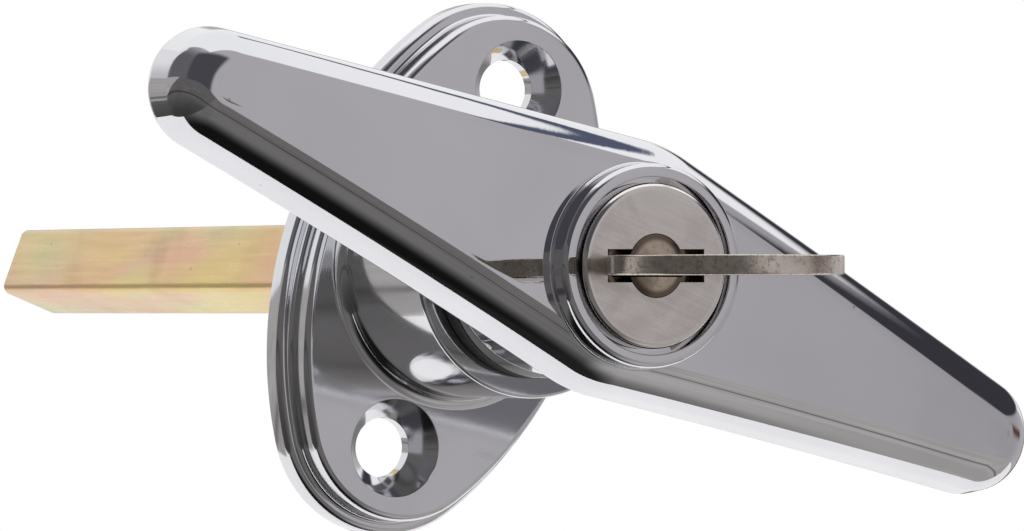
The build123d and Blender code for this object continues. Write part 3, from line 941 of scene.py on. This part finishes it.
def feed(socket, value):
    """Links a value to a socket, or sets the socket to a plain number or colour."""
    if isinstance(value, Value):
        socket.id_data.links.new(value.socket, socket)
    else:
        socket.default_value = value


def add_node(tree, kind, inputs=None, **settings):
    """Node with its settings, and with inputs given by name or by number."""
    node = tree.nodes.new("ShaderNode" + kind)
    for label, setting in settings.items():
        setattr(node, label, setting)
    for label, value in (inputs or {}).items():
        feed(node.inputs[label], value)
    return node


def spaced(values):
    """The same values under labels with spaces, as the sockets have them."""
    return {label.replace("_", " "): value for label, value in values.items()}


def noise(place, scale, detail=3.0, rough=0.55, distortion=0.0):
    """Soft random pattern between 0 and 1."""
    node = add_node(place.tree, "TexNoise", {
        "Vector": place, "Scale": scale, "Detail": detail, "Roughness": rough, "Distortion": distortion})
    return Value(node.outputs["Fac"])


def stretched(place, stretch, turn=(0, 0, 0)):
    """Coordinates turned and stretched, for streaks and brushing."""
    node = add_node(place.tree, "Mapping", {"Vector": place, "Rotation": turn, "Scale": stretch})
    return Value(node.outputs["Vector"])


def vector_maths(kind, first, second=(0, 0, 0)):
    """Number worked out from vectors, such as a length."""
    node = add_node(first.tree, "VectorMath", {0: first, 1: second}, operation=kind)
    return Value(node.outputs["Value"])


def effect(name, work, **takes):
    """Node group with named inputs, whose outputs are the values that work() returns by name."""
    group = bpy.data.node_groups.new(name, "ShaderNodeTree")
    input_kinds = {1: "NodeSocketFloat", 3: "NodeSocketVector", 4: "NodeSocketColor"}
    output_kinds = {"VALUE": "NodeSocketFloat", "RGBA": "NodeSocketColor"}
    for label, value in spaced(takes).items():
        socket = group.interface.new_socket(label, in_out="INPUT", socket_type=input_kinds[np.size(value)])
        socket.default_value = value
    start = group.nodes.new("NodeGroupInput")
    results = work(*[Value(output) for output, _ in zip(start.outputs, takes)])
    for label, value in results.items():
        group.interface.new_socket(label, in_out="OUTPUT", socket_type=output_kinds[value.socket.type])
    end = group.nodes.new("NodeGroupOutput")
    for label, value in results.items():
        feed(end.inputs[label], value)
    return group


def scratch_lines(place, amount):
    """Fine scratches in three directions: the share of the surface that they cover."""
    total = 0.0
    for turn, size in ((0.35, 240), (1.25, 310), (2.3, 270)):
        lines = noise(stretched(place, (0.06, 0.06, 1.0), (0.2, turn, 0.1)), size, 2.0, 0.4)
        broken = noise(place, size * 0.4, 1.0, 0.5)
        total = lines.ranged(0.70, 0.74) * broken.ranged(0.5, 0.6) + total
    return {"Scratches": total.maths("MULTIPLY", amount, True)}


def smudges_and_specks(place, patch_size):
    """Marks from handling: dull patches and small specks of dust."""
    smudges = noise(place, patch_size, 4.0, 0.5, 0.6).ranged(0.48, 0.72)
    cells = add_node(place.tree, "TexVoronoi", {"Vector": place, "Scale": 520.0}).outputs
    near = Value(cells["Distance"]).ranged(0.05, 0.11, 1.0, 0.0)
    rare = Value(cells["Color"]).ranged(0.80, 0.84)
    return {"Smudges": smudges, "Specks": near * rare}


def cloudy_tint(place, cloud_size, first, second):
    """Cloudy shift of a plated metal's colour between two tints."""
    clouds = noise(place, cloud_size, 3.0, 0.5, 1.2).ranged(0.36, 0.64)
    return {"Tint": clouds.blend(first, second)}


def streaks_and_pits(place, stretch, grain, speckle, specks):
    """Drawn or cast grain: fine streaks, pits, and the stain that they and the specks hold."""
    drawn = noise(stretched(place, stretch), grain, 3.0, 0.65)
    pitted = noise(place, grain * 1.6, 4.0, 0.7)
    stain = (pitted.ranged(0.50, 0.62) * speckle).maths("MAXIMUM", specks * 0.6)
    stain = stain.maths("ADD", drawn.ranged(0.5, 0.75) * 0.12, True)
    return {"Drawn": drawn, "Pitted": pitted, "Stain": stain}


def ring_share(place, inner, outer):
    """Share that grows from none to all between two distances from the spindle's axis."""
    away = vector_maths("LENGTH", stretched(place, (1.0, 0.0, 1.0)))
    return {"Ring": away.ranged(inner, outer)}


origin = (0, 0, 0)
white = (1, 1, 1, 1)
fine_scratches = effect("fine_scratches", scratch_lines, Place=origin, Amount=0.5)
handling_marks = effect("handling_marks", smudges_and_specks, Place=origin, Patch_Size=60.0)
plating_tint = effect("plating_tint", cloudy_tint,
                      Place=origin, Cloud_Size=90.0, First_Tint=white, Second_Tint=white)
drawn_grain = effect("drawn_grain", streaks_and_pits,
                     Place=origin, Stretch=(1, 1, 1), Grain=900.0, Speckle=0.3, Specks=0.0)
outer_ring = effect("outer_ring", ring_share, Place=origin, Inner=0.01, Outer=0.02)


# Materials
def new_material(name):
    """A new material, its shader and the place on the object, in metres."""
    material = bpy.data.materials.new(name)
    material.use_nodes = True
    tree = material.node_tree
    shader = next(node for node in tree.nodes if node.type == "BSDF_PRINCIPLED")
    return material, shader, Value(add_node(tree, "TexCoord").outputs["Object"])


def use(group, place, **values):
    """Outputs, by name, of a node group at a place, with its other inputs set by name."""
    node = add_node(place.tree, "Group", {0: place, **spaced(values)}, node_tree=group)
    return {output.name: Value(output) for output in node.outputs}


def tinted(place, cloud_size, first, second):
    """Colour that drifts between two tints in clouds."""
    return use(plating_tint, place, Cloud_Size=cloud_size,
               First_Tint=(*first, 1), Second_Tint=(*second, 1))["Tint"]


def set_look(shader, **looks):
    for label, value in spaced(looks).items():
        feed(shader.inputs[label], value)


def relief(shader, height, depth):
    """Bumps the shader's normal by a height, of a depth in metres."""
    bump = add_node(shader.id_data, "Bump", {"Strength": 1.0, "Distance": depth, "Height": height})
    feed(shader.inputs["Normal"], Value(bump.outputs["Normal"]))


def make_chrome(name, clean, smudged):
    """Chrome plating, whose roughness lies between a clean and a smudged value."""
    material, shader, place = new_material(name)
    marks = use(handling_marks, place, Patch_Size=55.0)
    lines = use(fine_scratches, place, Amount=0.8)["Scratches"]
    tint = tinted(place, 35.0, (0.80, 0.80, 0.83), (0.76, 0.765, 0.79))
    gloss = marks["Smudges"].ranged(0.0, 1.0, clean, smudged) + lines * 0.16 + marks["Specks"] * 0.3
    dusty = (marks["Specks"] * 0.5).blend(tint, (0.42, 0.40, 0.38, 1))
    set_look(shader, Base_Color=dusty, Metallic=1.0, Roughness=gloss)
    waves = noise(place, 110.0, 1.0, 0.3) + noise(place, 330.0) * 0.16
    relief(shader, waves - lines * 0.03, 0.000026)
    return material


def make_brushed_stainless():
    """Brushed sheet with a rim that the press has polished. The rim is less rough, and it is painted paler
    as a highlight.
    """
    material, shader, place = new_material("brushed_stainless")
    brushing = noise(stretched(place, (0.03, 1.0, 1.0), (0, 0.5, 0)), 2600.0, 3.0, 0.7)
    smudges = use(handling_marks, place, Patch_Size=160.0)["Smudges"]
    tint = tinted(place, 180.0, (0.88, 0.84, 0.81), (0.78, 0.735, 0.70))
    colour = (brushing.ranged(0.35, 0.7) * 0.09).blend(tint, (0.50, 0.46, 0.43, 1))
    rim = use(outer_ring, place, Inner=0.0076, Outer=0.0081)["Ring"]
    # The paler colour on the rim is a painted highlight. The rim's lower roughness on the next line is the
    # polish.
    colour = (rim * 0.7).blend(colour, (0.92, 0.90, 0.88, 1))
    gloss = brushing.ranged(0.3, 0.7, 0.25, 0.32) + smudges * 0.08 - rim * 0.14
    set_look(shader, Base_Color=colour, Metallic=1.0, Roughness=gloss, Anisotropic=0.35)
    relief(shader, brushing, 0.000005)
    return material


def make_worn_metal(name, first, second, dirt_and_shade, roughness, streaks, grain, speckle, painted_shade_from=1.0):
    """Plated or cast metal with streaks, dirt and a cloudy tint, and painted shade beyond a radius in
    metres.
    """
    material, shader, place = new_material(name)
    specks = use(handling_marks, place, Patch_Size=240.0)["Specks"]
    lines = use(fine_scratches, place, Amount=1.0)["Scratches"]
    tint = tinted(place, grain * 0.25, first, second)
    grains = use(drawn_grain, place, Stretch=streaks, Grain=grain, Speckle=speckle, Specks=specks)
    drawn = grains["Drawn"]
    stain = grains["Stain"]
    # Beyond this radius the colour goes towards the dirt colour. This is painted shade, used at the keyhole
    # dome's edge.
    ring = use(outer_ring, place, Inner=painted_shade_from, Outer=painted_shade_from + 0.0006)["Ring"]
    colour = stain.maths("MAXIMUM", ring * 0.85).blend(tint, (*dirt_and_shade, 1))
    gloss = drawn.ranged(0.3, 0.7, roughness, roughness + 0.12) + stain * 0.25 + lines * 0.1
    set_look(shader, Base_Color=colour, Metallic=1.0, Roughness=gloss)
    relief(shader, drawn + grains["Pitted"] * 0.5, 0.00002)
    return material


def make_yellow_zinc():
    """Zinc plating passivated yellow: gold, with pink and green clouds."""
    material, shader, place = new_material("yellow_zinc")
    long_place = stretched(place, (1.0, 0.35, 1.0))
    gold = tinted(long_place, 60.0, (0.85, 0.68, 0.26), (0.86, 0.50, 0.34))
    green = tinted(stretched(place, (1.4, 0.5, 1.2)), 85.0, (0.58, 0.68, 0.38), (0.86, 0.74, 0.40))
    film = noise(long_place, 45.0, 2.0, 0.5).ranged(0.4, 0.62).blend(gold, green)
    marks = use(handling_marks, place, Patch_Size=120.0)
    film = (marks["Specks"] * 0.6).blend(film, (0.20, 0.15, 0.10, 1))
    drawn = noise(stretched(place, (1.0, 0.05, 1.0)), 1500.0, 3.0, 0.6)
    gloss = drawn.ranged(0.3, 0.7, 0.26, 0.36) + marks["Smudges"] * 0.08
    set_look(shader, Base_Color=film, Metallic=0.9, Roughness=gloss)
    relief(shader, drawn, 0.00002)
    return material


def make_seal_rubber():
    """Black rubber, greyed where it was handled."""
    material, shader, place = new_material("seal_rubber")
    smudges = use(handling_marks, place, Patch_Size=300.0)["Smudges"]
    grain = noise(place, 1800.0, 3.0, 0.6)
    colour = (smudges * 0.5).blend((0.016, 0.016, 0.017, 1), (0.045, 0.043, 0.040, 1))
    set_look(shader, Base_Color=colour, Roughness=grain.ranged(0.3, 0.7, 0.45, 0.62))
    relief(shader, grain, 0.00003)
    return material


chrome = make_chrome("polished_chrome", 0.025, 0.06)
plate_chrome = make_chrome("dulled_chrome", 0.095, 0.14)
stainless = make_brushed_stainless()
rubber = make_seal_rubber()
zinc = make_yellow_zinc()
# Worn metals: two tints and the colour of dirt and painted shade, then roughness, streaks, grain, speckle
# and where the painted shade begins
# The bush brass darkens from 2.3 mm off the axis. This is painted shade round the dome's edge.
brass = make_worn_metal("bush_brass", (0.66, 0.55, 0.43), (0.54, 0.45, 0.37), (0.12, 0.09, 0.07),
                        0.13, (0.2, 1.0, 1.0), 900.0, 0.25, 0.0023)
wafer_brass = make_worn_metal("wafer_brass", (0.66, 0.52, 0.34), (0.56, 0.44, 0.30), (0.18, 0.13, 0.08),
                              0.22, (1.0, 1.0, 0.1), 900.0, 0.3)
nickel = make_worn_metal("key_nickel", (0.84, 0.77, 0.70), (0.74, 0.67, 0.59), (0.22, 0.16, 0.12),
                         0.14, (1.0, 0.08, 1.0), 1100.0, 0.38)
plug_metal = make_worn_metal("plug_brass", (0.30, 0.24, 0.17), (0.22, 0.17, 0.12), (0.06, 0.045, 0.03),
                             0.30, (1.0, 0.2, 1.0), 700.0, 0.6)
cast_zinc = make_worn_metal("housing_zinc", (0.44, 0.43, 0.43), (0.36, 0.36, 0.37), (0.15, 0.14, 0.13),
                            0.34, (1.0, 0.6, 1.0), 800.0, 0.4)
plated_steel = make_worn_metal("plated_steel", (0.60, 0.60, 0.58), (0.52, 0.53, 0.53), (0.20, 0.18, 0.15),
                               0.24, (1.0, 0.15, 1.0), 1000.0, 0.3)
spring_wire = make_worn_metal("spring_wire", (0.34, 0.35, 0.37), (0.27, 0.28, 0.30), (0.10, 0.09, 0.08),
                              0.28, (0.3, 1.0, 1.0), 1500.0, 0.3)

node_finish = {
    "handle": chrome, "escutcheon": plate_chrome, "neck_seal": rubber, "face_cap": stainless,
    "keyhole_bush": brass, "key": nickel, "spindle": zinc, "lock_plug": plug_metal,
    "lock_housing": cast_zinc, "locking_bolt": cast_zinc, "spring_washer": spring_wire,
    "wafer_springs": spring_wire,
}
for name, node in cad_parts.items():
    is_wafer = name.startswith("wafer_") and name != "wafer_springs"
    finish = wafer_brass if is_wafer else node_finish.get(name, plated_steel)
    for slot in node.material_slots:
        slot.material = finish
    if not node.material_slots:
        node.data.materials.append(finish)

# Pieces: mesh, the node that each replaces, its body, its slot and its material
pieces = (
    (make_handle(), "handle", "handle_body", "chrome_casting", chrome),
    (make_escutcheon(), "escutcheon", "escutcheon_body", "chrome_casting", plate_chrome),
    (make_neck_seal(), "neck_seal", "escutcheon_body", "seal_rubber", rubber),
    (make_face_cap(), "face_cap", "plug_body", "cap_stainless", stainless),
    (make_keyhole_bush(), "keyhole_bush", "plug_body", "bush_brass", brass),
    (make_key(), "key", "key_body", "key_nickel", nickel),
    (make_spindle(), "spindle", "handle_body", "spindle_zinc", zinc),
)
for piece, node, body, slot, finish in pieces:
    piece.data.materials.append(finish)
    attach(piece, body)
    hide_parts(node)


# Studio, in metres
def make_camera():
    """Long lens that looks up at the handle from the front left, as in the photo."""
    lens = bpy.data.cameras.new("photo_camera")
    lens.sensor_width = 36.0
    lens.lens = 277.2
    lens.clip_end = 100.0
    forward = Vector((0.4535, 0.8720, 0.1844)).normalized()
    right = Vector((0.8115, -0.4895, 0.3191)).normalized()
    turn = Matrix((right, right.cross(forward), -forward)).transposed().to_4x4()
    camera = add_object("photo_camera", lens)
    camera.matrix_world = Matrix.Translation(Vector((-0.37686, -0.74275, -0.15305))) @ turn
    bpy.context.scene.camera = camera


def stage_plane(name, corners, level, material):
    """Flat rectangle of the stage between two corners, at a level."""
    (x0, y0), (x1, y1) = corners
    mesh = bpy.data.meshes.new(name)
    points = [(x0, y0, level), (x1, y0, level), (x1, y1, level), (x0, y1, level)]
    mesh.from_pydata(points, [], [(0, 1, 2, 3)])
    mesh.materials.append(material)
    plane = add_object(name, mesh)
    return plane


def make_floor():
    """Pale floor, see-through for the camera from below, so that it never hides the object."""
    material, shader, place = new_material("pale_floor")
    tree = place.tree
    path = add_node(tree, "LightPath").outputs
    mirrored = Value(path["Is Glossy Ray"]).maths("MAXIMUM", Value(path["Is Transmission Ray"]))
    seen = Value(path["Is Camera Ray"]).maths("MAXIMUM", mirrored)
    mottle = noise(place, 6.0, 3.0, 0.5).blend((0.88, 0.88, 0.88, 1), (0.91, 0.91, 0.91, 1))
    set_look(shader, Base_Color=mottle, Roughness=0.9, Specular_IOR_Level=0.1,
             Emission_Color=white, Emission_Strength=seen * 0.40)
    below = Value(add_node(tree, "NewGeometry").outputs["Backfacing"])
    clear = add_node(tree, "BsdfTransparent")
    surface = add_node(tree, "MixShader", {
        0: below * Value(path["Is Camera Ray"]), 1: Value(shader.outputs[0]), 2: Value(clear.outputs[0])})
    output = next(node for node in tree.nodes if node.type == "OUTPUT_MATERIAL")
    feed(output.inputs["Surface"], Value(surface.outputs[0]))
    stage_plane("studio_floor", ((-6, -6), (6, 6)), -0.2, material)


def make_board(name, corners, near_level, far_level, reach, left_share=1.0):
    """Board over the floor that only reflections see.

    Its light goes from the near to the far level over a reach from the spindle's axis, has
    a darker line half a metre out, and is cut to a share on the left of the object's front.
    """
    material, shader, place = new_material(name)
    distance = vector_maths("LENGTH", stretched(place, (1.0, 1.0, 0.0)))
    off_line = (distance - 0.50).maths("ABSOLUTE")
    parts = add_node(place.tree, "SeparateXYZ", {0: place}).outputs
    ahead = (Value(parts["Y"]) * -1.0).maths("MAXIMUM", 0.01)
    bearing = Value(parts["X"]).maths("DIVIDE", ahead)
    level = distance.ranged(*reach, near_level, far_level)
    level = level * off_line.ranged(0.015, 0.045, 0.45, 1.0)
    level = level * bearing.ranged(0.35, 0.75, left_share, 1.0)
    level = level * noise(place, 7.0, 2.0, 0.5).ranged(0.35, 0.65, 0.9, 1.08)
    set_look(shader, Base_Color=(0, 0, 0, 1), Specular_IOR_Level=0.0,
             Emission_Color=(1.0, 0.96, 0.93, 1), Emission_Strength=level)
    board = stage_plane(name, corners, -0.19, material)
    board.visible_camera = False
    board.visible_diffuse = False
    board.visible_shadow = False
    board.visible_transmission = False


def toward(azimuth, elevation):
    """Direction from the object: azimuth from the front round to the right, then elevation."""
    a = math.radians(azimuth)
    e = math.radians(elevation)
    return Vector((math.cos(e) * math.sin(a), -math.cos(e) * math.cos(a), math.sin(e)))


def card_share(direction, centre, across, upward, half_width, half_height, edge):
    """Rectangular card far away: the share of each direction that it covers."""
    ahead = vector_maths("DOT_PRODUCT", direction, centre)
    share = ahead.ranged(0.0, 0.02)
    for axis, half in ((across, half_width), (upward, half_height)):
        reach = vector_maths("DOT_PRODUCT", direction, axis)
        reach = reach.maths("DIVIDE", ahead.maths("MAXIMUM", 0.001)).maths("ABSOLUTE")
        share = share * reach.ranged(half - edge, half + edge, 1.0, 0.0)
    return {"Share": share}


def card(group, direction, azimuth, elevation, width, height, edge):
    """Share of a card given by its middle and half sizes in degrees, and its edge's softness."""
    centre = toward(azimuth, elevation)
    across = toward(azimuth + 90, 0)
    return use(group, direction, Centre=centre, Across=across, Upward=centre.cross(across),
               Half_Width=math.tan(math.radians(width)), Half_Height=math.tan(math.radians(height)),
               Edge=edge)["Share"]


def make_world():
    """Grey room with pale and dark cards, for reflections. The camera sees plain white."""
    world = bpy.data.worlds.new("soft_studio")
    bpy.context.scene.world = world
    world.use_nodes = True
    tree = world.node_tree
    tree.nodes.clear()
    group = effect("studio_card", card_share, Direction=origin, Centre=origin, Across=origin,
                   Upward=origin, Half_Width=0.5, Half_Height=0.5, Edge=0.05)
    direction = Value(add_node(tree, "TexCoord").outputs["Generated"])
    room = (0.475, 0.455, 0.47, 1)
    # Azimuth, elevation, half width, half height and edge, then colour. A later card covers an earlier one.
    cards = (
        ((62, 12, 24, 40, 0.40), (0.375, 0.360, 0.370, 1)),    # soft grey at the right
        ((-92, 10, 44, 34, 0.30), (0.13, 0.13, 0.14, 1)),      # dark left side
        ((-42, 14, 33, 34, 0.12), (0.07, 0.07, 0.08, 1)),      # darker front left
        ((148, 2, 22, 13, 0.08), (0.20, 0.195, 0.205, 1)),     # dark low card behind
        ((172, 46, 48, 17, 0.06), (0.92, 0.92, 0.93, 1)),      # high softbox behind
        ((-165, 8, 27, 24, 0.10), (0.88, 0.88, 0.89, 1)),      # white sweep behind
        ((180, 75, 40, 44, 0.03), (1.0, 1.0, 1.0, 1)),         # softbox overhead
        ((97, 43, 40, 8, 0.04), (0.045, 0.042, 0.052, 1)),     # black strip at the right
        ((76, 19, 15, 3, 0.05), (0.10, 0.055, 0.045, 1)),      # brown strip below it
        ((90, 71, 31, 1.1, 0.008), (0.10, 0.11, 0.17, 1)),     # gap in the overhead softbox
    )
    for spot, colour in cards:
        room = card(group, direction, *spot).blend(room, colour)
    camera_ray = Value(add_node(tree, "LightPath").outputs["Is Camera Ray"])
    background = add_node(tree, "Background", {"Color": camera_ray.blend(room, white)})
    output = add_node(tree, "OutputWorld")
    feed(output.inputs["Surface"], Value(background.outputs[0]))


make_camera()
make_floor()
make_board("front_board", ((-0.15, -5.9), (5.9, 0.0)), 0.02, 0.42, (0.09, 0.24), 0.4)
make_board("left_board", ((-5.9, -5.9), (-0.15, 0.3)), 0.05, 0.13, (0.15, 0.5))
make_board("side_board", ((-5.9, 0.3), (-0.1, 5.9)), 0.35, 0.42, (0.3, 0.8))
make_world()
bpy.context.scene.view_settings.view_transform = "Standard"
